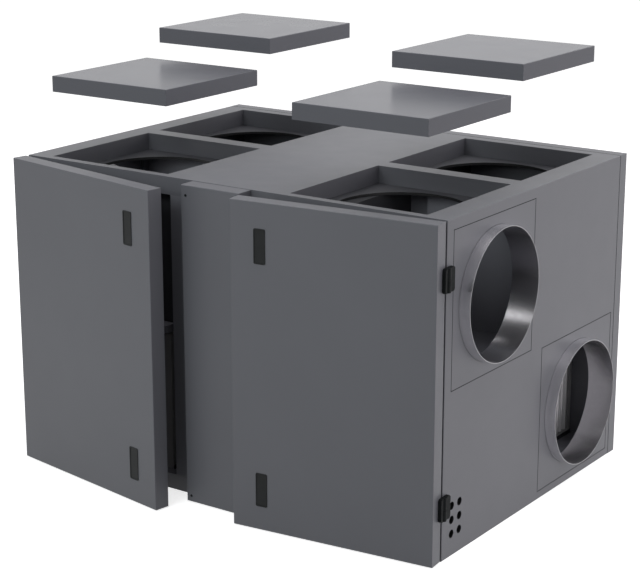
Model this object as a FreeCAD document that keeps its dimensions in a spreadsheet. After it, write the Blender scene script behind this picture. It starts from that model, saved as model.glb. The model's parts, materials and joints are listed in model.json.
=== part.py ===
import FreeCAD, Part
import os
import re
import Sketcher

# Air handling unit: an insulated casing with two front doors, four duct spigots in its ends and
# four square openings in its roof whose lids are lifted off.
# X runs to the right along the front, the front faces -Y, Z is up. The origin is on the floor in the
# middle of the casing. Places along Y are first given from the casing's front plane, and each
# finished piece is then moved back by half the casing's depth.

SIZES = [
    ("casing_length", 1540, "casing, end to end along X"),
    ("casing_depth", 1055, "casing from its front plane to the back panel"),
    ("casing_height", 1000, "casing from the floor to the roof"),
    ("panel_thickness", 50, "doors, centre panel, lids and spigot panels"),
    ("seat_thickness", 5, "wall that is left behind a spigot panel or below a lid"),
    ("seat_width", 10, "lip that a spigot panel seats on"),
    ("base_thickness", 50, "base panel"),
    ("back_thickness", 45, "back panel"),
    ("fold_radius", 2, "folded edges of the panels"),
    ("post_outer", 195, "centre line to the outer side of a front post"),
    ("post_inner", 85, "centre line to the inner side of a front post"),
    ("post_depth", 45, "front posts along Y"),
    ("centre_panel_width", 214, "fixed panel between the doors"),
    ("centre_seal_width", 14, "seal behind the centre panel"),
    ("door_gap", 8, "casing front to the back of a closed door"),
    ("door_side_gap", 6, "closed door to the centre panel"),
    ("door_foot_gap", 4, "floor to the door's lower edge"),
    ("door_head_gap", 1, "roof level to the door's upper edge"),
    ("door_seal_width", 12, "seal round the back of a door"),
    ("door_seal_thickness", 3, "seal beyond the back of a door"),
    ("door_seal_inset", 6, "door's edge to its seal"),
    ("left_door_angle", 10.4, "opening shown, degrees"),
    ("right_door_angle", 5.5, "opening shown, degrees"),
    ("barrel_radius", 8, "hinge barrel"),
    ("barrel_gap", 0.5, "hinge barrel to the side of the casing"),
    ("barrel_relief", 1.5, "hinge barrel to the leaf of the other half"),
    ("pin_radius", 3, "hinge pin"),
    ("pin_clearance", 0.3, "hinge pin to the hole in the door's half, all round and at its end"),
    ("leaf_height", 70, "hinge leaf"),
    ("leaf_thickness", 11, "hinge leaf"),
    ("leaf_corner", 5, "bevelled corners of a hinge leaf"),
    ("leaf_split", 1, "gap between the two halves of a barrel"),
    ("pin_cover", 3, "barrel above the end of the pin"),
    ("casing_leaf_width", 22, "hinge leaf on the casing, from the barrel"),
    ("door_leaf_width", 12, "hinge leaf on the door, from the barrel"),
    ("hinge_inset", 165, "casing edge to the middle of a hinge"),
    ("latch_width", 38, "latch plate"),
    ("latch_height", 104, "latch plate"),
    ("latch_proud", 2, "latch plate beyond the door's face"),
    ("latch_recess", 1, "finger face of the latch below the plate's rim"),
    ("latch_rim", 3, "rim of the latch plate"),
    ("latch_corner", 3, "bevelled corners of the latch plate"),
    ("latch_depth", 14, "latch body in the door"),
    ("latch_fit", 0.5, "latch body to its pocket in the door"),
    ("latch_inset", 98, "door's free edge to the middle of a latch"),
    ("latch_end_inset", 130, "casing edge to the middle of a latch"),
    ("roof_front_margin", 27.5, "front plane to the front roof openings"),
    ("roof_bridge", 59, "roof between the front and rear openings"),
    ("roof_rear_margin", 38.5, "rear roof openings to the back panel"),
    ("roof_side_margin", 24.5, "roof openings to the end wall"),
    ("roof_hole_edge", 35, "edge of a roof opening to the round hole in its tray"),
    ("tray_thickness", 8, "inner panel below a roof opening"),
    ("tray_margin", 10, "tray beyond its opening"),
    ("lid_clearance", 5, "lid to its opening, all round and below"),
    ("left_front_lift", 254, "lid above its seat, as shown"),
    ("right_front_lift", 264, "lid above its seat, as shown"),
    ("left_rear_lift", 345, "lid above its seat, as shown"),
    ("right_rear_lift", 345, "lid above its seat, as shown"),
    ("end_front_margin", 36, "front plane to the upper spigot panel's opening"),
    ("end_rear_margin", 21, "lower spigot panel's opening to the back panel"),
    ("end_head_margin", 33, "roof level to the upper spigot panel's opening"),
    ("end_foot_margin", 26, "floor to the lower spigot panel's opening"),
    ("spigot_panel_gap", 1, "spigot panel to its opening, at the sides and above"),
    ("spigot_edge", 33.5, "edge of a spigot panel's opening to the spigot"),
    ("spigot_sheet", 2, "wall of the spigots"),
    ("spigot_length", 36, "spigot beyond the end wall"),
    ("spigot_clearance", 0.5, "spigot to the hole in its panel"),
    ("spigot_root_step", 1, "how much thinner the spigot is inside its panel"),
    ("spigot_flange", 12, "spigot to the edge of its square flange"),
    ("cable_hole_radius", 12.5, "cable holes"),
    ("cable_hole_pitch", 43, "cable holes, both ways"),
    ("cable_hole_y", 53, "front plane to the first column of cable holes"),
    ("cable_hole_z", 68.5, "floor to the lowest cable holes"),
    ("core_half_width", 228, "centre line to the side of the exchanger casing"),
    ("core_upper_half_width", 304, "the same in its wider upper front part"),
    ("core_front_gap", 3, "front posts to the exchanger casing"),
    ("partition_gap", 19, "upper spigot panel's opening to the partition"),
    ("partition_thickness", 20, "partition between front and rear chambers"),
    ("alcove_width", 160, "set-back stretch of the partition beside the exchanger"),
    ("alcove_depth", 40, "how far that stretch is set back"),
    ("shelf_rise", 1, "lower edge of the upper spigot panel's opening to the shelves"),
    ("shelf_thickness", 24, "shelves"),
    ("shelf_setback", 10, "casing front to the shelf's edge"),
    ("filter_thickness", 50, "filter cassettes"),
    ("filter_head_gap", 11, "cassette to the shelf above it"),
    ("filter_rim", 18, "frame of a cassette"),
    ("filter_gap", 1, "cassette or rail to what stands beside it"),
    ("front_filter_y", 30, "casing front to the front cassettes"),
    ("front_filter_end_gap", 20, "front cassettes to the partition"),
    ("rear_filter_end_gap", 14, "rear cassettes to the back panel"),
    ("rear_rail_gap", 77.5, "rear cassettes' rails to the end wall"),
    ("rail_sheet", 2, "channel below a cassette"),
    ("rail_height", 14, "channel below a cassette"),
    ("rail_clearance", 0.5, "cassette to the sides of its channel"),
    ("pleat_pitch", 27, "largest distance between filter pleats"),
    ("pleat_crown", 8, "flat crown of a pleat"),
    ("pleat_sheet", 2, "filter sheet"),
    ("pleat_inset", 2, "face of the cassette to the crowns"),
]

# Sizes that follow from the ones above.
DERIVED = [
    ("middle_y", "(casing_depth + back_thickness) / 2"),
    ("half_length", "casing_length / 2"),
    ("wall_thickness", "panel_thickness + seat_thickness"),
    ("inner_half", "half_length - wall_thickness"),
    ("roof_underside", "casing_height - wall_thickness"),
    ("room_top", "roof_underside - tray_thickness"),
    ("opening", "(casing_depth - roof_front_margin - roof_bridge - roof_rear_margin) / 2"),
    ("opening_x", "inner_half - roof_side_margin - opening / 2"),
    ("front_opening_y", "roof_front_margin + opening / 2"),
    ("rear_opening_y", "casing_depth - roof_rear_margin - opening / 2"),
    ("roof_hole_radius", "opening / 2 - roof_hole_edge"),
    ("lid_size", "opening - 2 * lid_clearance"),
    ("upper_spigot_y", "end_front_margin + opening / 2"),
    ("upper_spigot_z", "casing_height - end_head_margin - opening / 2"),
    ("lower_spigot_y", "casing_depth - end_rear_margin - opening / 2"),
    ("lower_spigot_z", "end_foot_margin + opening / 2"),
    ("spigot_radius", "opening / 2 - spigot_edge"),
    ("door_width", "half_length - centre_panel_width / 2 - door_side_gap"),
    ("door_height", "casing_height - door_foot_gap - door_head_gap"),
    ("door_middle_z", "door_foot_gap + door_height / 2"),
    ("hinge_offset", "barrel_gap + barrel_radius"),
    ("hinge_x", "half_length + hinge_offset"),
    ("half_leaf", "leaf_height / 2 - leaf_split / 2"),
    ("latch_near", "hinge_offset + door_width - latch_inset - latch_width / 2"),
    ("latch_body_width", "latch_width - 2 * latch_rim"),
    ("latch_body_height", "latch_height - 2 * latch_rim"),
    ("partition_y", "end_front_margin + opening + partition_gap"),
    ("partition_back", "partition_y + partition_thickness"),
    ("alcove_y", "partition_y + alcove_depth"),
    ("alcove_x", "core_half_width + alcove_width"),
    ("shelf_z", "casing_height - end_head_margin - opening + shelf_rise"),
    ("shelf_top", "shelf_z + shelf_thickness"),
    ("filter_z", "base_thickness + rail_sheet"),
    ("filter_height", "shelf_z - filter_z - filter_head_gap"),
    ("front_filter_width", "partition_y - front_filter_y - front_filter_end_gap"),
    ("rear_filter_y", "partition_back + filter_gap"),
    ("rear_filter_width", "casing_depth - rear_filter_y - rear_filter_end_gap"),
    ("rail_width", "filter_thickness + 2 * rail_clearance + 2 * rail_sheet"),
    ("front_rail_x", "core_half_width + filter_gap"),
    ("rear_rail_x", "inner_half - rear_rail_gap - rail_width"),
    ("front_pleat_count", "floor((front_filter_width - 2 * filter_rim) / pleat_pitch)"),
    ("front_pleat_step", "(front_filter_width - 2 * filter_rim) / front_pleat_count"),
    ("rear_pleat_count", "floor((rear_filter_width - 2 * filter_rim) / pleat_pitch)"),
    ("rear_pleat_step", "(rear_filter_width - 2 * filter_rim) / rear_pleat_count"),
]

doc = FreeCAD.newDocument("AirHandlingUnit")
sheet = doc.addObject("Spreadsheet::Sheet", "Sizes")
for row, (alias, value, meaning) in enumerate(SIZES, start=1):
    sheet.set("A%d" % row, meaning)
    sheet.set("B%d" % row, str(value))
    sheet.setAlias("B%d" % row, alias)
for row, (alias, formula) in enumerate(DERIVED, start=len(SIZES) + 1):
    sheet.set("B%d" % row, "=" + formula)
    sheet.setAlias("B%d" % row, alias)
probe = doc.addObject("Spreadsheet::Sheet", "Probe")
doc.recompute()

X_AXIS = FreeCAD.Vector(1, 0, 0)
Y_AXIS = FreeCAD.Vector(0, 1, 0)
UP = FreeCAD.Vector(0, 0, 1)
ALONG_X = FreeCAD.Rotation(Y_AXIS, 90)
TOUCH = 1e-6
LEVELS = ("upper", "lower")
ROWS = ("front", "rear")
subparts = []
given_y = {}


def cells(expression):
    """Point every named size in an expression at its cell."""
    return re.sub(r"\b([a-z]\w*)", r"Sizes.\1", str(expression))


def number(expression):
    """Value that an expression of named sizes has now."""
    probe.set("A1", "=" + cells(expression))
    probe.recompute()
    return float(probe.get("A1"))


def bind(item, expressions):
    """Bind properties of one object to expressions of named sizes."""
    for name, expression in expressions.items():
        item.setExpression(name, cells(expression))
    return item


def place(item, x, y, z):
    given_y[item.Name] = y
    return bind(item, {
        "Placement.Base.x": x,
        "Placement.Base.y": y,
        "Placement.Base.z": z,
    })


def side_name(side):
    return "right" if side > 0 else "left"


def signed(side, expression):
    return expression if side > 0 else "-(%s)" % expression


def block(name, low, size):
    """Box from its lowest corner and its three sizes."""
    item = doc.addObject("Part::Box", name)
    bind(item, {"Length": size[0], "Width": size[1], "Height": size[2]})
    return place(item, *low)


def mirrored_block(name, side, inner, low_yz, size):
    """Box on one side of the centre line, given by its face nearest to it."""
    x = inner if side > 0 else "-(%s) - (%s)" % (inner, size[0])
    return block(name, (x, low_yz[0], low_yz[1]), size)


def cylinder(name, radius, height, base, rotation=None):
    item = doc.addObject("Part::Cylinder", name)
    bind(item, {"Radius": radius, "Height": height})
    if rotation is not None:
        item.Placement = FreeCAD.Placement(FreeCAD.Vector(), rotation)
    return place(item, *base)


def fuse(name, items):
    item = doc.addObject("Part::MultiFuse", name)
    item.Shapes = items
    return item


def cut(name, base, tools):
    item = doc.addObject("Part::Cut", name)
    item.Base = base
    item.Tool = tools[0] if len(tools) == 1 else fuse(name + "Tools", tools)
    return item


def compound(name, items):
    item = doc.addObject("Part::Compound", name)
    item.Links = items
    return item


def subpart(item, label):
    """Name a finished piece and move it from the front plane's axes to the casing's middle."""
    item.Label = label
    bind(item, {"Placement.Base.y": "%s - middle_y" % given_y.get(item.Name, "0")})
    subparts.append(item)
    return item


def pick_edges(shape, faces=None, along=None):
    """Numbers of the edges on the flat faces that lie farthest out in the directions given by
    faces, and parallel to along."""
    picked = []
    for index, edge in enumerate(shape.Edges, start=1):
        ends = [vertex.Point for vertex in edge.Vertexes]
        on_face = faces is None or any(lies_farthest(shape, ends, outward) for outward in faces)
        parallel = along is None or (ends[-1] - ends[0]).cross(along).Length < TOUCH
        if on_face and parallel:
            picked.append(index)
    return picked


def lies_farthest(shape, points, outward):
    reach = max(vertex.Point.dot(outward) for vertex in shape.Vertexes)
    return all(reach - point.dot(outward) < TOUCH for point in points)


def eased(name, kind, base, size, faces=None, along=None):
    """Solid with some of its edges rounded or bevelled."""
    doc.recompute()
    value = number(size)
    item = doc.addObject("Part::" + kind, name)
    item.Base = base
    item.Edges = [(index, value, value) for index in pick_edges(base.Shape, faces, along)]
    return item


def new_body(name):
    return doc.addObject("PartDesign::Body", name)


def new_sketch(body, name, role):
    """Sketch on one of the body's own origin planes."""
    sketch = body.newObject("Sketcher::SketchObject", name)
    plane = [item for item in body.Origin.OriginFeatures if item.Role == role][0]
    sketch.AttachmentSupport = (plane, "")
    sketch.MapMode = "FlatFace"
    return sketch


def draw_outline(sketch, points):
    """Closed outline through points, each given as a pair of expressions from the origin."""
    values = [(number(u), number(v)) for u, v in points]
    count = len(values)
    for index in range(count):
        start = FreeCAD.Vector(*values[index], 0)
        end = FreeCAD.Vector(*values[(index + 1) % count], 0)
        sketch.addGeometry(Part.LineSegment(start, end))
    for index in range(count):
        sketch.addConstraint(Sketcher.Constraint("Coincident", index, 2, (index + 1) % count, 1))
    for index, ends in enumerate(points):
        for kind, expression, value in zip(("DistanceX", "DistanceY"), ends, values[index]):
            hold_point(sketch, index, kind, expression, value)


def hold_point(sketch, index, kind, expression, value):
    """Hold the start of a line at a distance from the origin, on either side of it."""
    if value < 0:
        constraint = Sketcher.Constraint(kind, index, 1, -1, 1, -value)
        expression = "-(%s)" % expression
    else:
        constraint = Sketcher.Constraint(kind, -1, 1, index, 1, value)
    place_in_list = sketch.addConstraint(constraint)
    sketch.setExpression("Constraints[%d]" % place_in_list, cells(expression))


def draw_rectangle(sketch, width, height):
    """Rectangle about the origin."""
    half_u = "%s / 2" % width
    half_v = "%s / 2" % height
    draw_outline(sketch, [
        ("-" + half_u, "-" + half_v),
        (half_u, "-" + half_v),
        (half_u, half_v),
        ("-" + half_u, half_v),
    ])


def pad(body, name, sketch, length, midplane=False):
    feature = body.newObject("PartDesign::Pad", name)
    feature.Profile = sketch
    feature.Midplane = midplane
    bind(feature, {"Length": length})
    sketch.Visibility = False
    doc.recompute()
    return feature


def folded_panel(name, role, width, height, thickness, faces):
    """Flat insulated panel about its own middle, rounded where its sheet is folded."""
    body = new_body(name)
    sketch = new_sketch(body, name + "Outline", role)
    draw_rectangle(sketch, width, height)
    slab = pad(body, name + "Slab", sketch, thickness, midplane=True)
    fold = body.newObject("PartDesign::Fillet", name + "Fold")
    fold.Base = (slab, ["Edge%d" % index for index in pick_edges(slab.Shape, faces)])
    bind(fold, {"Radius": "fold_radius"})
    return body


# Casing: base, end walls, roof, back and front posts.

def make_base():
    base = block("Base", ("-inner_half", "0", "0"),
                 ("2 * inner_half", "casing_depth", "base_thickness"))
    subpart(base, "base_panel")


def make_end_wall(side):
    """End wall with two stepped square openings, each ending in a lip that its panel seats on."""
    name = side_name(side).title() + "End"
    slab = mirrored_block(name + "Slab", side, "inner_half", ("0", "0"),
                          ("wall_thickness", "casing_depth", "casing_height"))
    folded = eased(name + "Folded", "Fillet", slab, "fold_radius", faces=[X_AXIS * side])
    tools = []
    for level in LEVELS:
        low_y = level + "_spigot_y - opening / 2"
        low_z = level + "_spigot_z - opening / 2"
        tools.append(mirrored_block(
            name + level.title() + "Seat", side, "half_length - panel_thickness",
            (low_y, low_z), ("panel_thickness", "opening", "opening")))
        tools.append(mirrored_block(
            name + level.title() + "Window", side, "inner_half",
            (low_y + " + seat_width", low_z + " + seat_width"),
            ("wall_thickness", "opening - 2 * seat_width", "opening - 2 * seat_width")))
    if side > 0:
        tools += cable_holes(name)
    subpart(cut(name, folded, tools), side_name(side) + "_end_wall")


def cable_holes(name):
    """Two columns of three cable holes near the lower front corner."""
    holes = []
    for column in range(2):
        for row in range(3):
            holes.append(cylinder(
                "%sCable%d%d" % (name, column, row), "cable_hole_radius", "wall_thickness",
                ("inner_half", "cable_hole_y + %d * cable_hole_pitch" % column,
                 "cable_hole_z + %d * cable_hole_pitch" % row), ALONG_X))
    return holes


def make_roof():
    slab = block("RoofSlab", ("-inner_half", "0", "roof_underside"),
                 ("2 * inner_half", "casing_depth", "wall_thickness"))
    tools = []
    for side in (-1, 1):
        for row in ROWS:
            tools.append(mirrored_block(
                "RoofCut" + side_name(side).title() + row.title(), side,
                "opening_x - opening / 2", (row + "_opening_y - opening / 2", "roof_underside"),
                ("opening", "opening", "wall_thickness")))
    subpart(cut("Roof", slab, tools), "roof_panel")


def make_back():
    back = folded_panel("Back", "XZ_Plane", "casing_length", "casing_height", "back_thickness",
                        [Y_AXIS, -Y_AXIS])
    place(back, "0", "casing_depth + back_thickness / 2", "casing_height / 2")
    subpart(back, "back_panel")


def make_post(side):
    post = mirrored_block(side_name(side).title() + "Post", side, "post_inner",
                          ("0", "base_thickness"),
                          ("post_outer - post_inner", "post_depth",
                           "roof_underside - base_thickness"))
    subpart(post, side_name(side) + "_front_post")


def make_tray(side, row):
    """Inner panel that closes a roof opening from below, with its round air hole."""
    name = side_name(side).title() + row.title() + "Tray"
    size = "opening + 2 * tray_margin"
    plate = mirrored_block(name + "Plate", side, "opening_x - opening / 2 - tray_margin",
                           (row + "_opening_y - opening / 2 - tray_margin", "room_top"),
                           (size, size, "tray_thickness"))
    hole = cylinder(name + "Hole", "roof_hole_radius", "tray_thickness",
                    (signed(side, "opening_x"), row + "_opening_y", "room_top"))
    subpart(cut(name, plate, [hole]), "%s_%s_tray" % (side_name(side), row))


def make_centre_panel():
    """Fixed panel between the doors, on a seal that stands it off the posts."""
    body = folded_panel("CentreSlab", "XZ_Plane", "centre_panel_width", "door_height",
                        "panel_thickness", [-Y_AXIS])
    place(body, "0", "-door_gap - panel_thickness / 2", "door_middle_z")
    outer = block("SealOuter", ("-centre_panel_width / 2", "-door_gap", "door_foot_gap"),
                  ("centre_panel_width", "door_gap", "door_height"))
    inner = block("SealInner",
                  ("-centre_panel_width / 2 + centre_seal_width", "-door_gap",
                   "door_foot_gap + centre_seal_width"),
                  ("centre_panel_width - 2 * centre_seal_width", "door_gap",
                   "door_height - 2 * centre_seal_width"))
    seal = cut("Seal", outer, [inner])
    subpart(fuse("CentrePanel", [body, seal]), "centre_panel")


# Duct spigots and the square panels that carry them.

def make_spigot_panel(side, level):
    name = side_name(side).title() + level.title() + "SpigotPanel"
    centre_y = level + "_spigot_y"
    centre_z = level + "_spigot_z"
    plate = mirrored_block(name + "Plate", side, "half_length - panel_thickness",
                           (centre_y + " - opening / 2 + spigot_panel_gap",
                            centre_z + " - opening / 2"),
                           ("panel_thickness", "opening - 2 * spigot_panel_gap",
                            "opening - spigot_panel_gap"))
    hole_start = "half_length - panel_thickness" if side > 0 else "-half_length"
    hole = cylinder(name + "Hole", "spigot_radius + spigot_clearance", "panel_thickness",
                    (hole_start, centre_y, centre_z), ALONG_X)
    subpart(cut(name, plate, [hole]), "%s_%s_spigot_panel" % (side_name(side), level))


def make_spigot(side, level):
    """Round collar turned about its axis, on a square flange seated behind its panel."""
    name = side_name(side).title() + level.title() + "Spigot"
    body = new_body(name + "Collar")
    sketch = new_sketch(body, name + "Profile", "XZ_Plane")
    root = "spigot_radius - spigot_root_step"
    draw_outline(sketch, [
        ("-panel_thickness", "0"),
        ("spigot_length", "0"),
        ("spigot_length", "spigot_radius"),
        ("0", "spigot_radius"),
        ("0", root),
        ("-panel_thickness", root),
    ])
    turned = body.newObject("PartDesign::Revolution", name + "Turned")
    turned.Profile = sketch
    turned.ReferenceAxis = (sketch, ["H_Axis"])
    turned.Angle = 360
    sketch.Visibility = False
    if side < 0:
        body.Placement = FreeCAD.Placement(FreeCAD.Vector(), FreeCAD.Rotation(UP, 180))
    centre_y = level + "_spigot_y"
    centre_z = level + "_spigot_z"
    place(body, signed(side, "half_length"), centre_y, centre_z)
    reach = "(spigot_radius + spigot_flange)"
    back = "half_length - panel_thickness - spigot_sheet"
    flange = mirrored_block(name + "Flange", side, back,
                            ("%s - %s" % (centre_y, reach), "%s - %s" % (centre_z, reach)),
                            ("spigot_sheet", "2 * " + reach, "2 * " + reach))
    bore_start = back if side > 0 else "-half_length - spigot_length"
    bore = cylinder(name + "Bore", "spigot_radius - spigot_sheet",
                    "spigot_sheet + panel_thickness + spigot_length",
                    (bore_start, centre_y, centre_z), ALONG_X)
    blank = fuse(name + "Blank", [body, flange])
    subpart(cut(name, blank, [bore]), "%s_%s_spigot" % (side_name(side), level))


# Inside: exchanger casing, partitions, shelves and pleated filters.

def make_exchanger_casing():
    """Closed housing in the middle, wider above the shelves in front of the partitions."""
    core = block("Core", ("-core_half_width", "post_depth + core_front_gap", "base_thickness"),
                 ("2 * core_half_width", "casing_depth - post_depth - core_front_gap",
                  "room_top - base_thickness"))
    wide = block("CoreWide",
                 ("-core_upper_half_width", "post_depth + core_front_gap", "shelf_top"),
                 ("2 * core_upper_half_width", "alcove_y - post_depth - core_front_gap",
                  "room_top - shelf_top"))
    subpart(fuse("CoreHousing", [core, wide]), "exchanger_casing")


def make_partition(side):
    """Wall between front and rear chambers, set back beside the exchanger casing."""
    name = side_name(side).title() + "Partition"
    body = new_body(name)
    sketch = new_sketch(body, name + "Plan", "XY_Plane")
    plan = [
        ("inner_half", "partition_y"),
        ("inner_half", "partition_back"),
        ("alcove_x + partition_thickness", "partition_back"),
        ("alcove_x + partition_thickness", "alcove_y + partition_thickness"),
        ("core_half_width", "alcove_y + partition_thickness"),
        ("core_half_width", "alcove_y"),
        ("alcove_x", "alcove_y"),
        ("alcove_x", "partition_y"),
    ]
    draw_outline(sketch, [(signed(side, x), y) for x, y in plan])
    pad(body, name + "Wall", sketch, "room_top - base_thickness")
    place(body, "0", "0", "base_thickness")
    subpart(body, side_name(side) + "_partition")


def make_shelf(side):
    """Floor of the upper chamber, which fills the alcove of the partition too."""
    name = side_name(side).title() + "Shelf"
    main = mirrored_block(name + "Main", side, "core_half_width", ("shelf_setback", "shelf_z"),
                          ("inner_half - core_half_width", "partition_y - shelf_setback",
                           "shelf_thickness"))
    alcove = mirrored_block(name + "Alcove", side, "core_half_width",
                            ("shelf_setback", "shelf_z"),
                            ("alcove_width", "alcove_y - shelf_setback", "shelf_thickness"))
    subpart(fuse(name, [main, alcove]), side_name(side) + "_shelf")


def make_filter(side, row):
    """Filter cassette: a rectangular frame round one sheet folded into upright pleats."""
    name = side_name(side).title() + row.title() + "Filter"
    width = row + "_filter_width"
    body = new_body(name)
    outline = new_sketch(body, name + "Outline", "YZ_Plane")
    draw_outline(outline, [
        ("0", "0"),
        (width, "0"),
        (width, "filter_height"),
        ("0", "filter_height"),
    ])
    pad(body, name + "Frame", outline, "filter_thickness")
    window = new_sketch(body, name + "Window", "YZ_Plane")
    draw_outline(window, [
        ("filter_rim", "filter_rim"),
        (width + " - filter_rim", "filter_rim"),
        (width + " - filter_rim", "filter_height - filter_rim"),
        ("filter_rim", "filter_height - filter_rim"),
    ])
    pocket = body.newObject("PartDesign::Pocket", name + "Opening")
    pocket.Profile = window
    pocket.Type = "ThroughAll"
    pocket.Reversed = True
    window.Visibility = False
    step = row + "_pleat_step"
    fold = new_sketch(body, name + "Fold", "XY_Plane")
    bind(fold, {"AttachmentOffset.Base.z": "filter_rim"})
    draw_outline(fold, pleat_outline(step))
    pleat = pad(body, name + "Pleat", fold, "filter_height - 2 * filter_rim")
    pleats = body.newObject("PartDesign::LinearPattern", name + "Pleats")
    pleats.Originals = [pleat]
    pleats.Direction = (fold, ["V_Axis"])
    bind(pleats, {
        "Length": "(%s_pleat_count - 1) * %s" % (row, step),
        "Occurrences": row + "_pleat_count",
    })
    body.Tip = pleats
    inner = row + "_rail_x + rail_sheet + rail_clearance"
    x = inner if side > 0 else "-(%s) - filter_thickness" % inner
    place(body, x, row + "_filter_y", "filter_z")
    subpart(body, "%s_%s_filter" % (side_name(side), row))


def pleat_outline(step):
    """Plan of one pleat, from the middle of one near crown to the middle of the next."""
    near = "pleat_inset"
    near_back = "pleat_inset + pleat_sheet"
    far = "filter_thickness - pleat_inset"
    far_back = "filter_thickness - pleat_inset - pleat_sheet"
    half = "pleat_crown / 2"
    return [
        (near, "filter_rim"),
        (near, "filter_rim + " + half),
        (far_back, "filter_rim + %s / 2 - %s + pleat_sheet" % (step, half)),
        (far_back, "filter_rim + %s / 2 + %s - pleat_sheet" % (step, half)),
        (near, "filter_rim + %s - %s" % (step, half)),
        (near, "filter_rim + " + step),
        (near_back, "filter_rim + " + step),
        (near_back, "filter_rim + %s - %s + pleat_sheet" % (step, half)),
        (far, "filter_rim + %s / 2 + %s" % (step, half)),
        (far, "filter_rim + %s / 2 - %s" % (step, half)),
        (near_back, "filter_rim + %s - pleat_sheet" % half),
        (near_back, "filter_rim"),
    ]


def make_rails(side):
    """Channels on the base that the feet of the two cassettes of one side stand in."""
    channels = []
    for row in ROWS:
        name = side_name(side).title() + row.title() + "Rail"
        outer = mirrored_block(name + "Outer", side, row + "_rail_x",
                               (row + "_filter_y", "base_thickness"),
                               ("rail_width", row + "_filter_width", "rail_height"))
        inner = mirrored_block(name + "Inner", side, row + "_rail_x + rail_sheet",
                               (row + "_filter_y", "base_thickness + rail_sheet"),
                               ("rail_width - 2 * rail_sheet", row + "_filter_width",
                                "rail_height - rail_sheet"))
        channels.append(cut(name, outer, [inner]))
    pair = compound(side_name(side).title() + "Rails", channels)
    subpart(pair, side_name(side) + "_filter_rails")


# Doors. Each is drawn closed about its own hinge axis and then turned to the angle shown.

HINGE_Y = "-door_gap / 2"
DOOR_BACK = "-door_gap / 2"
DOOR_FACE = "-door_gap / 2 - panel_thickness"
HINGE_LEVELS = ("hinge_inset", "casing_height - hinge_inset")
LATCH_LEVELS = ("latch_end_inset", "casing_height - latch_end_inset")


def hang(item, side):
    """Turn a piece about its door's hinge axis, which is the piece's own Z axis."""
    angle = side_name(side) + "_door_angle"
    item.Placement = FreeCAD.Placement(FreeCAD.Vector(),
                                       FreeCAD.Rotation(UP * side, number(angle)))
    bind(item, {"Placement.Rotation.Angle": angle})
    return place(item, signed(side, "hinge_x"), HINGE_Y, "0")


def door_block(name, side, near, width, low_y, depth, low_z, height):
    """Box on a closed door, near being its distance from the hinge axis towards the free edge."""
    x = "-(%s) - (%s)" % (near, width) if side > 0 else near
    return block(name, (x, low_y, low_z), (width, depth, height))


def make_door(side):
    """Insulated door with a pocket for each latch."""
    name = side_name(side).title() + "Door"
    slab = folded_panel(name + "Slab", "XZ_Plane", "door_width", "door_height",
                        "panel_thickness", [-Y_AXIS])
    place(slab, signed(-side, "hinge_offset + door_width / 2"),
          DOOR_BACK + " - panel_thickness / 2", "door_middle_z")
    pockets = []
    for index, level in enumerate(LATCH_LEVELS):
        pockets.append(door_block(
            "%sPocket%d" % (name, index), side, "latch_near + latch_rim - latch_fit",
            "latch_body_width + 2 * latch_fit", DOOR_FACE, "latch_depth + latch_fit",
            level + " - latch_body_height / 2 - latch_fit", "latch_body_height + 2 * latch_fit"))
    subpart(hang(cut(name, slab, pockets), side), side_name(side) + "_door")


def make_door_seal(side):
    """Soft seal round the back of a door."""
    name = side_name(side).title() + "DoorSeal"
    inset = "door_seal_inset"
    inner_inset = "(door_seal_inset + door_seal_width)"
    outer = door_block(name + "Outer", side, "hinge_offset + " + inset,
                       "door_width - 2 * " + inset, DOOR_BACK, "door_seal_thickness",
                       "door_foot_gap + " + inset, "door_height - 2 * " + inset)
    inner = door_block(name + "Inner", side, "hinge_offset + " + inner_inset,
                       "door_width - 2 * " + inner_inset, DOOR_BACK, "door_seal_thickness",
                       "door_foot_gap + " + inner_inset, "door_height - 2 * " + inner_inset)
    subpart(hang(cut(name, outer, [inner]), side), side_name(side) + "_door_seal")


def make_latches(side):
    """Two latches in one door, each a rimmed plate on the face with its body in the pocket."""
    name = side_name(side).title() + "Latch"
    latches = []
    for index, level in enumerate(LATCH_LEVELS):
        plate = door_block("%sPlate%d" % (name, index), side, "latch_near", "latch_width",
                           DOOR_FACE + " - latch_proud", "latch_proud",
                           level + " - latch_height / 2", "latch_height")
        corners = eased("%sCorners%d" % (name, index), "Chamfer", plate, "latch_corner",
                        along=Y_AXIS)
        body = door_block("%sBody%d" % (name, index), side, "latch_near + latch_rim",
                          "latch_body_width", DOOR_FACE, "latch_depth",
                          level + " - latch_body_height / 2", "latch_body_height")
        recess = door_block("%sRecess%d" % (name, index), side, "latch_near + latch_rim",
                            "latch_body_width", DOOR_FACE + " - latch_proud", "latch_recess",
                            level + " - latch_body_height / 2", "latch_body_height")
        blank = fuse("%sBlank%d" % (name, index), [corners, body])
        latches.append(cut("%sShell%d" % (name, index), blank, [recess]))
    pair = compound(name + "Pair", latches)
    subpart(hang(pair, side), side_name(side) + "_door_latches")


def barrel_half(name, level, upper, x, y):
    low = level + " + leaf_split / 2" if upper else level + " - leaf_height / 2"
    return cylinder(name, "barrel_radius", "half_leaf", (x, y, low))


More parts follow.
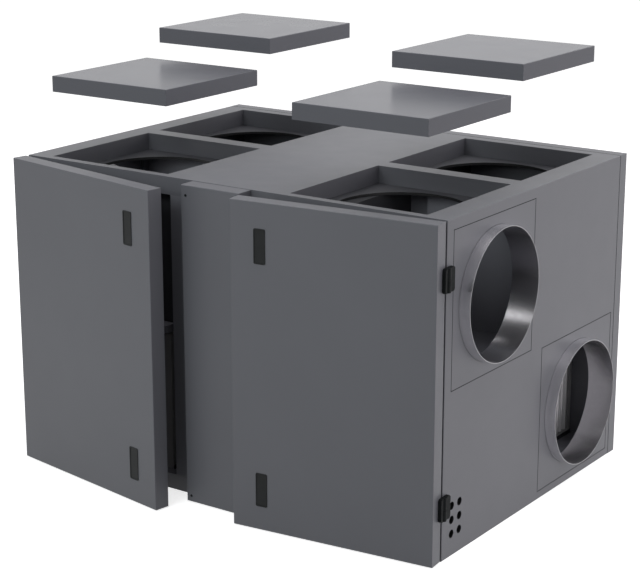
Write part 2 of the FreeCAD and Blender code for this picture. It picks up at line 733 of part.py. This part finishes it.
def make_door_hinges(side):
    """Upper halves of a door's two lift-off hinges, on the door's edge."""
    name = side_name(side).title() + "DoorHinge"
    halves = []
    leaf_x = "-hinge_offset" if side > 0 else "hinge_offset - leaf_thickness"
    reach = "barrel_radius + barrel_relief"
    for index, level in enumerate(HINGE_LEVELS):
        leaf = block("%sLeaf%d" % (name, index),
                     (leaf_x, "-(%s) - door_leaf_width" % reach, level + " - leaf_height / 2"),
                     ("leaf_thickness", "door_leaf_width", "leaf_height"))
        corners = eased("%sCorners%d" % (name, index), "Chamfer", leaf, "leaf_corner",
                        [-Y_AXIS], X_AXIS)
        web = block("%sWeb%d" % (name, index),
                    (leaf_x, "-(%s)" % reach, level + " + leaf_split / 2"),
                    ("leaf_thickness", reach, "half_leaf"))
        barrel = barrel_half("%sBarrel%d" % (name, index), level, True, "0", "0")
        bore = cylinder("%sBore%d" % (name, index), "pin_radius + pin_clearance",
                        "half_leaf - pin_cover", ("0", "0", level + " + leaf_split / 2"))
        blank = fuse("%sBlank%d" % (name, index), [corners, web, barrel])
        halves.append(cut("%sHalf%d" % (name, index), blank, [bore]))
    pair = compound(name + "Pair", halves)
    subpart(hang(pair, side), side_name(side) + "_door_hinge_halves")


def make_casing_hinges(side):
    """Lower halves with their pins, on the end wall."""
    name = side_name(side).title() + "CasingHinge"
    halves = []
    x = signed(side, "hinge_x")
    leaf_start = HINGE_Y + " + barrel_radius + barrel_relief"
    web_depth = "barrel_radius + barrel_relief - door_gap / 2"
    for index, level in enumerate(HINGE_LEVELS):
        low = level + " - leaf_height / 2"
        leaf = mirrored_block("%sLeaf%d" % (name, index), side, "half_length",
                              (leaf_start, low),
                              ("leaf_thickness", "casing_leaf_width", "leaf_height"))
        corners = eased("%sCorners%d" % (name, index), "Chamfer", leaf, "leaf_corner",
                        [Y_AXIS], X_AXIS)
        web = mirrored_block("%sWeb%d" % (name, index), side, "half_length", ("0", low),
                             ("leaf_thickness", web_depth, "half_leaf"))
        barrel = barrel_half("%sBarrel%d" % (name, index), level, False, x, HINGE_Y)
        pin = cylinder("%sPin%d" % (name, index), "pin_radius",
                       "leaf_height - pin_cover - pin_clearance", (x, HINGE_Y, low))
        halves.append(fuse("%sHalf%d" % (name, index), [corners, web, barrel, pin]))
    subpart(compound(name + "Pair", halves), side_name(side) + "_casing_hinge_halves")


# Lids, lifted straight up off their openings by the height shown.

def make_lid(side, row):
    name = side_name(side).title() + row.title() + "Lid"
    lid = folded_panel(name, "XY_Plane", "lid_size", "lid_size", "panel_thickness", [UP])
    place(lid, signed(side, "opening_x"), row + "_opening_y",
          "roof_underside + lid_clearance + panel_thickness / 2 + %s_%s_lift"
          % (side_name(side), row))
    subpart(lid, "%s_%s_lid" % (side_name(side), row))


make_base()
make_roof()
make_back()
make_centre_panel()
make_exchanger_casing()
for side in (-1, 1):
    make_end_wall(side)
    make_post(side)
    make_partition(side)
    make_shelf(side)
    make_rails(side)
    make_casing_hinges(side)
    make_door(side)
    make_door_seal(side)
    make_latches(side)
    make_door_hinges(side)
    for row in ROWS:
        make_tray(side, row)
        make_lid(side, row)
        make_filter(side, row)
    for level in LEVELS:
        make_spigot_panel(side, level)
        make_spigot(side, level)

doc.removeObject(probe.Name)
doc.recompute()

for item in doc.Objects:
    bad = [state for state in item.State if state in ("Invalid", "Error")]
    if bad:
        raise RuntimeError("%s is %s" % (item.Label, ", ".join(bad)))
for item in subparts:
    if item.Shape.isNull() or not item.Shape.isValid():
        raise RuntimeError("%s has no valid shape" % item.Label)

os.makedirs("parts", exist_ok=True)
for item in subparts:
    item.Shape.exportStep("parts/%s.step" % item.Label)
print("%d sub-parts" % len(subparts))
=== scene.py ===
import bmesh
import bpy
import json
import math
from mathutils import Matrix, Vector


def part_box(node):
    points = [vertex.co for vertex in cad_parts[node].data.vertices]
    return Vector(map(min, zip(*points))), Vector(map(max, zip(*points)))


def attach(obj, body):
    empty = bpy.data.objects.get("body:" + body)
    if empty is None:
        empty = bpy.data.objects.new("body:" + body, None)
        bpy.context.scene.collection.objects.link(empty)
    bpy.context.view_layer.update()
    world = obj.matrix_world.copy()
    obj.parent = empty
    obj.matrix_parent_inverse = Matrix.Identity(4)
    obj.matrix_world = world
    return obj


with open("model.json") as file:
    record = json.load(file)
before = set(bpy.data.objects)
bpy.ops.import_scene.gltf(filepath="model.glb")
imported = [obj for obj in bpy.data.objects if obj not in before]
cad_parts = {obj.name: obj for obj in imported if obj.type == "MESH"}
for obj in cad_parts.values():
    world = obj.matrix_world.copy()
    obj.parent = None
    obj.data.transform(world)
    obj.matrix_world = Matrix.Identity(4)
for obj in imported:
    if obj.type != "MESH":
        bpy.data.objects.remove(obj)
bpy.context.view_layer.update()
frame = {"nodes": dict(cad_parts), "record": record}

# The camera, fitted to corners, rims and hole centres of the photograph. Its place is in metres,
# and it looks down from level and turns from +Y by degrees.
PHOTO_WIDTH = 640.0
FOCAL_LENGTH_PIXELS = 1858.4
SENSOR_WIDTH = 36.0
CAMERA_PLACE = (3.271, -4.7516, 2.1882)
CAMERA_DOWN = 15.875
CAMERA_TURN = 34.804
CAMERA_REACH = 200.0

# The world and the floor: what lights the object, and what the camera and reflections see.
WHITE = (1.0, 1.0, 1.0, 1.0)
WORLD_LIGHT = 0.40
FLOOR_LIT = (0.16, 0.16, 0.16, 1.0)
FLOOR_SEEN = (0.80, 0.80, 0.80, 1.0)
FLOOR_GLOW = 0.72
FLOOR_REACH = 40.0

# In reflections the floor is dim past the first place on both axes, and bright from the second
# place on either.
DIM_FLOOR_EDGES = (("X", -1.3, -1.0), ("Y", -0.3, -0.6))

# Each lamp's name, place, target, width and height, watts and colour.
LAMPS = (
    ("top_light", (0.5, 0.5, 4.6), (0.0, 0.0, 0.6), (4.0, 4.0), 100, (1.0, 0.97, 1.0)),
    ("right_light", (6.0, 0.6, 1.4), (0.4, 0.0, 0.5), (3.0, 3.0), 98, (1.0, 0.955, 1.0)),
    ("front_light", (-0.4, -4.4, 3.0), (0.0, -0.5, 0.8), (3.0, 2.0), 81, (0.95, 1.0, 1.0)),
    ("left_light", (-5.5, 1.2, 0.9), (-0.4, 0.0, 0.5), (3.0, 1.4), 42, (1.0, 0.98, 1.0)),
    ("back_light", (2.2, 6.0, 2.4), (0.0, 0.4, 0.6), (3.0, 3.0), 80, (1.0, 0.98, 1.0)),
)

# Base colours.
GREY = (0.114, 0.1165, 0.131)
ZINC = (0.74, 0.73, 0.76)
FILTER_PAPER = (0.62, 0.62, 0.63)
FILTER_FRAME = (0.20, 0.20, 0.205)
SEAL_BLACK = (0.012, 0.012, 0.013)
HINGE_BLACK = (0.007, 0.008, 0.0085)
LATCH_BLACK = (0.017, 0.018, 0.0185)

# Painted shade on places of a piece, as shares of its colour.
END_FACE_PAINTED_SHADE = 0.3
BORE_PAINTED_SHADE = 0.08

# Where a piece changes its colour, in metres. The bores are darkened with painted shade between
# two depths below the wall's outer face.
BORE_MARGIN = 0.007
BORE_DEPTHS = (0.0485, 0.0005)
FILTER_FRAME_WIDTH = 0.0182

# A face looks along an axis where its normal's share along it is above this.
FACING_SHARE = 0.7

# Most of a noise's values lie between these two.
NOISE_LOW = 0.3
NOISE_HIGH = 0.7

# Screws of the centre panel, in metres. Each ring of the head has its share of the radius, its
# share of the height, and whether it is six-sided.
SCREW_FROM_MIDDLE = 0.090
SCREW_HEIGHTS = (("upper", 0.968), ("lower", 0.023))
SCREW_RADIUS = 0.0042
SCREW_HEAD = 0.0014
SCREW_STEPS = 36
SCREW_RINGS = (
    (1.0, 0.0, False), (1.0, 0.35, False), (0.93, 0.7, False), (0.72, 0.93, False),
    (0.5, 1.0, False), (0.38, 1.0, True), (0.36, 0.3, True),
)

# Sealant beads, in metres. Each corner of a bead's section has its share of the half width and
# its height over the sheet.
BEAD_HALF_WIDTH = 0.0013
BEAD_SECTION = ((-1.0, -0.0005), (-0.8, 0.00024), (0.0, 0.0004), (0.8, 0.00024), (1.0, -0.0005))
PLATE_GAP_MIDDLE = 0.0005
BEAD_END_GAP = 0.003
BEAD_TOP_GAP = 0.002


def shade(colour, share):
    return tuple(channel * share for channel in colour)


def tint(colour, share=1.0):
    """A share of a base colour, as a socket takes it."""
    return (*shade(colour, share), 1.0)


class NodeTree:
    """The nodes of a material or a world, with a short call for each kind used here."""

    def __init__(self, owner):
        owner.use_nodes = True
        self.nodes = owner.node_tree.nodes
        self.links = owner.node_tree.links

    def feed(self, socket, value):
        """Gives a socket another node's output, or a number or colour of its own."""
        if isinstance(value, bpy.types.NodeSocket):
            self.links.new(value, socket)
        else:
            socket.default_value = value

    def calculate(self, operation, *values):
        node = self.nodes.new("ShaderNodeMath")
        node.operation = operation
        for socket, value in zip(node.inputs, values):
            self.feed(socket, value)
        return node.outputs[0]

    def rescale(self, value, start, end, low, high):
        """Low where the value is at its start, high where it is at its end."""
        node = self.nodes.new("ShaderNodeMapRange")
        node.inputs["From Min"].default_value = start
        node.inputs["From Max"].default_value = end
        node.inputs["To Min"].default_value = low
        node.inputs["To Max"].default_value = high
        self.links.new(value, node.inputs["Value"])
        return node.outputs["Result"]

    def mix(self, factor, first, second):
        """The first colour where the factor is 0, the second where it is 1."""
        node = self.nodes.new("ShaderNodeMix")
        node.data_type = "RGBA"
        self.feed(node.inputs["A"], first)
        self.feed(node.inputs["B"], second)
        self.links.new(factor, node.inputs["Factor"])
        return node.outputs["Result"]

    def coordinates(self, kind):
        return self.nodes.new("ShaderNodeTexCoord").outputs[kind]

    def along_axes(self, kind):
        """The X, Y and Z of a coordinate."""
        node = self.nodes.new("ShaderNodeSeparateXYZ")
        self.links.new(self.coordinates(kind), node.inputs[0])
        return node.outputs

    def noise(self, scale, detail=2.0, stretch=(1.0, 1.0, 1.0)):
        """Noise that stays with the piece."""
        mapping = self.nodes.new("ShaderNodeMapping")
        mapping.inputs["Scale"].default_value = stretch
        self.links.new(self.coordinates("Object"), mapping.inputs["Vector"])
        texture = self.nodes.new("ShaderNodeTexNoise")
        texture.inputs["Scale"].default_value = scale
        texture.inputs["Detail"].default_value = detail
        self.links.new(mapping.outputs["Vector"], texture.inputs["Vector"])
        return texture.outputs["Fac"]

    def crystals(self, scale):
        """A grey of its own for each cell of a pattern that stays with the piece."""
        pattern = self.nodes.new("ShaderNodeTexVoronoi")
        pattern.inputs["Scale"].default_value = scale
        self.links.new(self.coordinates("Object"), pattern.inputs["Vector"])
        split = self.nodes.new("ShaderNodeSeparateColor")
        self.links.new(pattern.outputs["Color"], split.inputs["Color"])
        return split.outputs["Red"]

    def clouded(self, noise, colour, dark, light):
        """A colour that noise takes from a darker to a lighter share of it."""
        cloud = self.rescale(noise, NOISE_LOW, NOISE_HIGH, 0.0, 1.0)
        return self.mix(cloud, tint(colour, dark), tint(colour, light))

    def roughen(self, shader, noise, roughness, change):
        """Roughness that noise takes a little below and above its middle value."""
        varied = self.rescale(noise, NOISE_LOW, NOISE_HIGH, roughness - change, roughness + change)
        self.links.new(varied, shader.inputs["Roughness"])

    def bump(self, shader, height, strength, distance):
        node = self.nodes.new("ShaderNodeBump")
        node.inputs["Strength"].default_value = strength
        node.inputs["Distance"].default_value = distance
        self.links.new(height, node.inputs["Height"])
        self.links.new(node.outputs["Normal"], shader.inputs["Normal"])

    def facing(self, axis):
        """1 on faces that look along one of the piece's own axes, 0 on the others."""
        size = self.calculate("ABSOLUTE", self.along_axes("Normal")[axis])
        return self.calculate("GREATER_THAN", size, FACING_SHARE)

    def within(self, low, high):
        """1 in a box of the piece's own space, 0 outside it."""
        place = self.along_axes("Object")
        inside = 1.0
        for axis, start, end in zip("XYZ", low, high):
            for comparison, limit in (("GREATER_THAN", start), ("LESS_THAN", end)):
                passed = self.calculate(comparison, place[axis], limit)
                inside = self.calculate("MULTIPLY", inside, passed)
        return inside

    def at_border(self, width, size):
        """1 near a piece's border in Y and Z, 0 in its middle.

        Generated coordinates run from 0 to 1 over the piece.
        """
        place = self.along_axes("Generated")
        half = 0.5
        bands = []
        for axis, length in (("Y", size.y), ("Z", size.z)):
            from_middle = self.calculate("ABSOLUTE", self.calculate("SUBTRACT", place[axis], half))
            bands.append(self.calculate("GREATER_THAN", from_middle, half - width / length))
        return self.calculate("MAXIMUM", *bands)

    def seen_or_mirrored(self, mirrored=1.0):
        """1 for what the camera, a reflection or a glass sees, 0 for what only gives light."""
        path = self.nodes.new("ShaderNodeLightPath").outputs
        glossy = self.calculate("MULTIPLY", path["Is Glossy Ray"], mirrored)
        seen = self.calculate("MAXIMUM", path["Is Camera Ray"], glossy)
        return self.calculate("MAXIMUM", seen, path["Is Transmission Ray"])


def new_material(name):
    material = bpy.data.materials.new(name)
    tree = NodeTree(material)
    return material, tree, tree.nodes["Principled BSDF"]


def add_object(name, data):
    item = bpy.data.objects.new(name, data)
    bpy.context.scene.collection.objects.link(item)
    return item


# Camera, stage and light.

def make_camera():
    data = bpy.data.cameras.new("camera")
    data.sensor_fit = "HORIZONTAL"
    data.sensor_width = SENSOR_WIDTH
    data.lens = SENSOR_WIDTH * FOCAL_LENGTH_PIXELS / PHOTO_WIDTH
    data.clip_end = CAMERA_REACH
    camera = add_object("camera", data)
    camera.location = CAMERA_PLACE
    camera.rotation_euler = (math.radians(90 - CAMERA_DOWN), 0.0, math.radians(CAMERA_TURN))
    bpy.context.scene.camera = camera


def make_lamp(name, place, target, size, watts, colour):
    data = bpy.data.lights.new(name, "AREA")
    data.shape = "RECTANGLE"
    data.size, data.size_y = size
    data.energy = watts
    data.color = colour
    lamp = add_object(name, data)
    lamp.location = place
    lamp.rotation_euler = (Vector(target) - Vector(place)).to_track_quat("-Z", "Y").to_euler()


def make_world():
    """A world that is seen as white but gives less light than that."""
    world = bpy.data.worlds.new("studio")
    bpy.context.scene.world = world
    tree = NodeTree(world)
    background = tree.nodes["Background"]
    background.inputs["Color"].default_value = WHITE
    strength = tree.rescale(tree.seen_or_mirrored(), 0.0, 1.0, WORLD_LIGHT, 1.0)
    tree.links.new(strength, background.inputs["Strength"])


def away_from_left_end(tree):
    """0 on the floor beside and behind the left end, which would glint in the left spigot."""
    place = tree.along_axes("Object")
    edges = [tree.rescale(place[axis], dim, bright, 0.0, 1.0)
             for axis, dim, bright in DIM_FLOOR_EDGES]
    return tree.calculate("MAXIMUM", *edges)


def make_floor():
    """White floor, dim for the rays that only give light."""
    material, tree, shader = new_material("studio_floor")
    shader.inputs["Roughness"].default_value = 0.9
    shader.inputs["Specular IOR Level"].default_value = 0.0
    seen = tree.seen_or_mirrored(away_from_left_end(tree))
    tree.links.new(tree.mix(seen, FLOOR_LIT, FLOOR_SEEN), shader.inputs["Base Color"])
    shader.inputs["Emission Color"].default_value = WHITE
    glow = tree.calculate("MULTIPLY", seen, FLOOR_GLOW)
    tree.links.new(glow, shader.inputs["Emission Strength"])
    mesh = bpy.data.meshes.new("floor")
    reach = FLOOR_REACH
    corners = [(-reach, -reach, 0), (reach, -reach, 0), (reach, reach, 0), (-reach, reach, 0)]
    mesh.from_pydata(corners, [], [(0, 1, 2, 3)])
    mesh.materials.append(material)
    floor = add_object("floor", mesh)


# Materials.

def powder_coat(name, colour, specular, roughness=0.42, variation=0.025, grain=0.05,
                upright_painted_shade=None, bores=None):
    """Powder-coated sheet steel: satin, with a fine orange peel and faint cloudiness.

    upright_painted_shade is the share of the colour on a level sheet's upright edges, as painted
    shade, and bores is a box round holes whose bores are darkened with painted shade.
    """
    material, tree, shader = new_material(name)
    paint = tree.clouded(tree.noise(scale=3.0, detail=4.0), colour,
                         dark=1 - variation, light=1 + variation)
    # Painted shade: the upright edges of a level sheet are darker than its level faces.
    if upright_painted_shade is not None:
        paint = tree.mix(tree.facing("Z"), tint(colour, upright_painted_shade), paint)
    # Painted shade: the bores of the holes are darkened.
    if bores is not None:
        paint = tree.mix(tree.within(*bores), paint, tint(colour, BORE_PAINTED_SHADE))
    tree.links.new(paint, shader.inputs["Base Color"])
    tree.roughen(shader, tree.noise(scale=14.0, detail=3.0), roughness, change=0.015)
    shader.inputs["Specular IOR Level"].default_value = specular
    tree.bump(shader, tree.noise(scale=700.0, detail=1.0), strength=grain, distance=0.0002)
    return material


def galvanised(name, colour, roughness, stretch):
    """Zinc-coated sheet steel with faint spangle and marks of drawing; its cut ends get painted
    shade that dims their reflection.
    """
    material, tree, shader = new_material(name)
    spangle = tree.mix(tree.crystals(scale=90.0), tint(colour, share=0.97),
                       tint(colour, share=1.03))
    # Painted shade: faces along X, the tubes' end faces, are darker, which dims their bright
    # reflection.
    zinc = tree.mix(tree.facing("X"), spangle, tint(colour, END_FACE_PAINTED_SHADE))
    tree.links.new(zinc, shader.inputs["Base Color"])
    shader.inputs["Metallic"].default_value = 1.0
    streaks = tree.noise(scale=30.0, detail=3.0, stretch=stretch)
    tree.roughen(shader, streaks, roughness, change=0.02)
    tree.bump(shader, streaks, strength=0.02, distance=0.0002)
    return material


def moulded(name, colour, roughness, specular):
    """Moulded plastic with a fine leather-like grain."""
    material, tree, shader = new_material(name)
    plastic = tree.clouded(tree.noise(scale=25.0, detail=3.0), colour, dark=0.9, light=1.1)
    tree.links.new(plastic, shader.inputs["Base Color"])
    tree.roughen(shader, tree.noise(scale=60.0), roughness, change=0.05)
    shader.inputs["Specular IOR Level"].default_value = specular
    tree.bump(shader, tree.noise(scale=1500.0), strength=0.25, distance=0.0003)
    return material


def pleated_filter(name, node):
    """Pleated filter paper, matt with fine fibres, in a darker frame."""
    material, tree, shader = new_material(name)
    low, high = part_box(node)
    fibres = tree.noise(scale=350.0, detail=6.0, stretch=(1.0, 1.0, 4.0))
    paper = tree.clouded(fibres, FILTER_PAPER, dark=0.85, light=1.08)
    framed = tree.at_border(FILTER_FRAME_WIDTH, high - low)
    tree.links.new(tree.mix(framed, paper, tint(FILTER_FRAME)), shader.inputs["Base Color"])
    shader.inputs["Roughness"].default_value = 0.95
    shader.inputs["Sheen Weight"].default_value = 0.2
    shader.inputs["Specular IOR Level"].default_value = 0.2
    tree.bump(shader, fibres, strength=0.5, distance=0.0008)
    return material


def rubber(name, colour):
    """Cellular rubber seal with open pores."""
    material, tree, shader = new_material(name)
    pores = tree.noise(scale=900.0, detail=3.0)
    foam = tree.clouded(pores, colour, dark=0.7, light=1.3)
    tree.links.new(foam, shader.inputs["Base Color"])
    shader.inputs["Roughness"].default_value = 0.85
    shader.inputs["Specular IOR Level"].default_value = 0.2
    tree.bump(shader, pores, strength=0.5, distance=0.0005)
    return material


def painted_shade_cable_bores():
    """A box round the bores of the cable holes, inside the right end wall's skin, where painted
    shade darkens them.
    """
    outer_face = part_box("right_end_wall")[1].x
    holes = [opening["box_m"] for opening in frame["record"]["physics"]["openings"]
             if opening["name"].startswith("cable_hole")]
    low = [min(box[0][axis] for box in holes) - BORE_MARGIN for axis in (1, 2)]
    high = [max(box[1][axis] for box in holes) + BORE_MARGIN for axis in (1, 2)]
    return (outer_face - BORE_DEPTHS[0], *low), (outer_face - BORE_DEPTHS[1], *high)


def material_for(node, slot):
    """A node's own material, or else its slot's."""
    for ending, material in NODE_MATERIALS.items():
        if node.endswith(ending):
            return material
    return MATERIALS[slot]


# Screws and sealant beads.

def body_of_node(node):
    for body, members in frame["record"]["behaviour"]["bodies"].items():
        if node in members:
            return body


def join_rings(work, rings):
    """Adds the faces between each ring of points and the next."""
    for first, second in zip(rings, rings[1:]):
        for step in range(len(first)):
            after = (step + 1) % len(first)
            work.faces.new((first[step], first[after], second[after], second[step]))


def add_piece(name, work, slot, place=(0.0, 0.0, 0.0)):
    """Turns a finished bmesh into an object with the material of a slot."""
    bmesh.ops.recalc_face_normals(work, faces=work.faces)
    mesh = bpy.data.meshes.new(name)
    work.to_mesh(mesh)
    work.free()
    mesh.transform(Matrix.Translation(place))
    mesh.materials.append(MATERIALS[slot])
    return add_object(name, mesh)


def hexagon(angle):
    """How far a hexagon of unit inner radius reaches in a direction."""
    return 1.0 / math.cos((angle % (math.pi / 3)) - math.pi / 6)


def screw(name, place, body):
    """Round-headed screw with a six-sided socket, seen from the front."""
    work = bmesh.new()
    rings = []
    for share, level, socket in SCREW_RINGS:
        ring = []
        for step in range(SCREW_STEPS):
            angle = 2 * math.pi * step / SCREW_STEPS
            reach = SCREW_RADIUS * share * (hexagon(angle) if socket else 1.0)
            ring.append(work.verts.new((reach * math.cos(angle), -SCREW_HEAD * level,
                                        reach * math.sin(angle))))
        rings.append(ring)
    join_rings(work, rings)
    work.faces.new(rings[-1])
    piece = add_piece(name, work, "black_plastic", place)
    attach(piece, body)


def bead(name, corners, outward, body):
    """Thin bead of sealant along a joint: a low arched strip from each corner to the next."""
    work = bmesh.new()
    outward = Vector(outward)
    for start, end in zip(corners, corners[1:]):
        start, end = Vector(start), Vector(end)
        along = (end - start).normalized() * BEAD_HALF_WIDTH
        across = along.cross(outward)
        rings = [[work.verts.new(point + across * share + outward * height)
                  for share, height in BEAD_SECTION]
                 for point in (start - along, end + along)]
        join_rings(work, rings)
        work.faces.new(rings[0])
        work.faces.new(rings[1])
    piece = add_piece(name, work, "seal_rubber")
    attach(piece, body)


def make_screws():
    """Four screws that hold the centre panel."""
    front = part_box("centre_panel")[0].y
    for side, sign in (("left", -1), ("right", 1)):
        for level, height in SCREW_HEIGHTS:
            screw("centre_screw_%s_%s" % (side, level), (sign * SCREW_FROM_MIDDLE, front, height),
                  body_of_node("centre_panel"))


def make_plate_joint(side, sign, wall, level):
    """A bead round a spigot panel, along its gap to the end wall."""
    low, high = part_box("%s_%s_spigot_panel" % (side, level))
    front, rear = low.y - PLATE_GAP_MIDDLE, high.y + PLATE_GAP_MIDDLE
    foot, head = low.z, high.z + PLATE_GAP_MIDDLE
    bead("%s_%s_plate_joint" % (side, level),
         [(wall, front, foot), (wall, rear, foot), (wall, rear, head), (wall, front, head),
          (wall, front, foot)],
         (sign, 0, 0), body_of_node(side + "_end_wall"))


def make_beads():
    """Beads round the spigot panels and where the back panel meets the ends and the roof."""
    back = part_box("back_panel")[0].y
    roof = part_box("roof_panel")[1].z
    for side, sign in (("left", -1), ("right", 1)):
        wall = sign * max(abs(corner.x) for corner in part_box(side + "_end_wall"))
        for level in ("upper", "lower"):
            make_plate_joint(side, sign, wall, level)
        bead(side + "_back_joint",
             [(wall, back, BEAD_END_GAP), (wall, back, roof - BEAD_TOP_GAP)],
             (sign, 0, 0), body_of_node("back_panel"))
    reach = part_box("back_panel")[1].x - BEAD_END_GAP
    bead("roof_back_joint", [(-reach, back, roof), (reach, back, roof)],
         (0, 0, 1), body_of_node("back_panel"))


# The material of each slot of the record.
MATERIALS = {
    "casing_paint": powder_coat("casing_paint", GREY, specular=0.4),
    "front_paint": powder_coat("front_paint", GREY, specular=0.35),
    # Painted light: the lids' paint is a lighter copy of the casing's grey.
    "lid_paint": powder_coat("lid_paint", shade(GREY, 1.10), roughness=0.24, variation=0.01,
                             grain=0.01, specular=0.10),
    "inner_sheet": powder_coat("inner_sheet", shade(GREY, 1.3), roughness=0.6, specular=0.3),
    # Painted shade: the trays' paint is a darker copy of the grey for the shade in the roof
    # recesses, and their upright edges are darker still.
    "tray_paint": powder_coat("tray_paint", shade(GREY, 0.55), roughness=0.55, specular=0.3,
                              upright_painted_shade=0.12),
    "spigot_panel_paint": powder_coat("spigot_panel_paint", GREY, specular=0.4),
    "spigot_steel": galvanised("spigot_steel", ZINC, roughness=0.25, stretch=(6.0, 1.0, 1.0)),
    "filter_media": pleated_filter("filter_media", "right_rear_filter"),
    "seal_rubber": rubber("seal_rubber", SEAL_BLACK),
    "black_plastic": moulded("black_plastic", HINGE_BLACK, roughness=0.6, specular=0.08),
}

# Nodes that differ from their slot's material, by how their names end.
NODE_MATERIALS = {
    # Painted shade: the exchanger casing gets a much darker copy of the grey, for the shade deep
    # inside the unit.
    "exchanger_casing": powder_coat("exchanger_sheet", shade(GREY, 0.3), roughness=0.6,
                                    specular=0.2),
    # The right end wall, with painted shade in the bores of its cable holes.
    "right_end_wall": powder_coat("bored_wall_paint", GREY, specular=0.4, bores=painted_shade_cable_bores()),
    "_front_filter": pleated_filter("front_filter_media", "right_front_filter"),
    "_latches": moulded("latch_plastic", LATCH_BLACK, roughness=0.42, specular=0.11),
}

for node, item in frame["nodes"].items():
    for held in item.material_slots:
        held.material = material_for(node, held.material.name.split(".")[0])

make_camera()
make_world()
make_floor()
for lamp in LAMPS:
    make_lamp(*lamp)
make_screws()
make_beads()

bpy.context.scene.view_settings.view_transform = "Standard"
